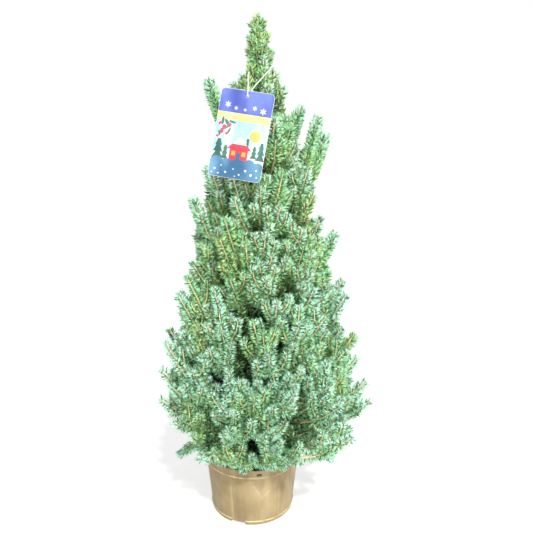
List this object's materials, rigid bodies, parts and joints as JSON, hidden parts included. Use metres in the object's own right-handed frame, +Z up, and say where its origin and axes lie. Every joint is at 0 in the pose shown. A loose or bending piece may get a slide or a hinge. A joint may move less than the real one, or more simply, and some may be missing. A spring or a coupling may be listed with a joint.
{
  "type": "potted alberta spruce",
  "caption": "Small conical evergreen tree with short dense needles on upswept shoots, in a round tapered pot, with a hang tag tied to its leader.",
  "frame": {"origin": "centre of the pot's flat underside, where it stands", "axes": "+Z up the trunk; the tag hangs on the -Y side, which is the front; +X is to the right seen from the front"},
  "size_m": [0.3665, 0.3499, 0.858],
  "materials": {
    "pot_finish": "satin gold-tan paint on plastic",
    "compost": "matt, crumbly",
    "bark": "matt, scaly",
    "needles": "satin needles, fresh green",
    "frosted_needles": "satin needles with a pale blue-green bloom",
    "tag_card": "gloss print on a thin white sheet",
    "tag_string": "satin white twine"
  },
  "bodies": {
    "root": {"pot": "pot_finish", "compost": "compost", "trunk": "bark", "skirt_foliage_1": "frosted_needles", "skirt_bough_1": "bark", "skirt_foliage_2": "frosted_needles", "skirt_bough_2": "bark", "skirt_foliage_3": "frosted_needles", "skirt_bough_3": "bark", "skirt_foliage_4": "frosted_needles", "skirt_bough_4": "bark", "skirt_foliage_5": "frosted_needles", "skirt_bough_5": "bark", "skirt_foliage_6": "frosted_needles", "skirt_bough_6": "bark", "low_foliage_1": "frosted_needles", "low_bough_1": "bark", "low_foliage_2": "frosted_needles", "low_bough_2": "bark", "low_foliage_3": "frosted_needles", "low_bough_3": "bark", "low_foliage_4": "frosted_needles", "low_bough_4": "bark", "low_foliage_5": "frosted_needles", "low_bough_5": "bark", "low_foliage_6": "frosted_needles", "low_bough_6": "bark", "lower_middle_foliage_1": "frosted_needles", "lower_middle_bough_1": "bark", "lower_middle_foliage_2": "frosted_needles", "lower_middle_bough_2": "bark", "lower_middle_foliage_3": "frosted_needles", "lower_middle_bough_3": "bark", "lower_middle_foliage_4": "frosted_needles", "lower_middle_bough_4": "bark", "lower_middle_foliage_5": "frosted_needles", "lower_middle_bough_5": "bark", "middle_foliage_1": "needles", "middle_foliage_2": "needles", "middle_foliage_3": "needles", "middle_foliage_4": "needles", "middle_foliage_5": "needles", "upper_middle_foliage_1": "needles", "upper_middle_foliage_2": "needles", "upper_middle_foliage_3": "needles", "upper_middle_foliage_4": "needles", "shoulder_foliage_1": "needles", "shoulder_foliage_2": "needles", "shoulder_foliage_3": "needles", "shoulder_foliage_4": "needles", "crest_foliage_1": "needles", "crest_foliage_2": "needles", "crest_foliage_3": "needles", "leader_foliage": "needles", "hang_tag": "tag_card", "tag_string": "tag_string"}
  },
  "joints": []
}
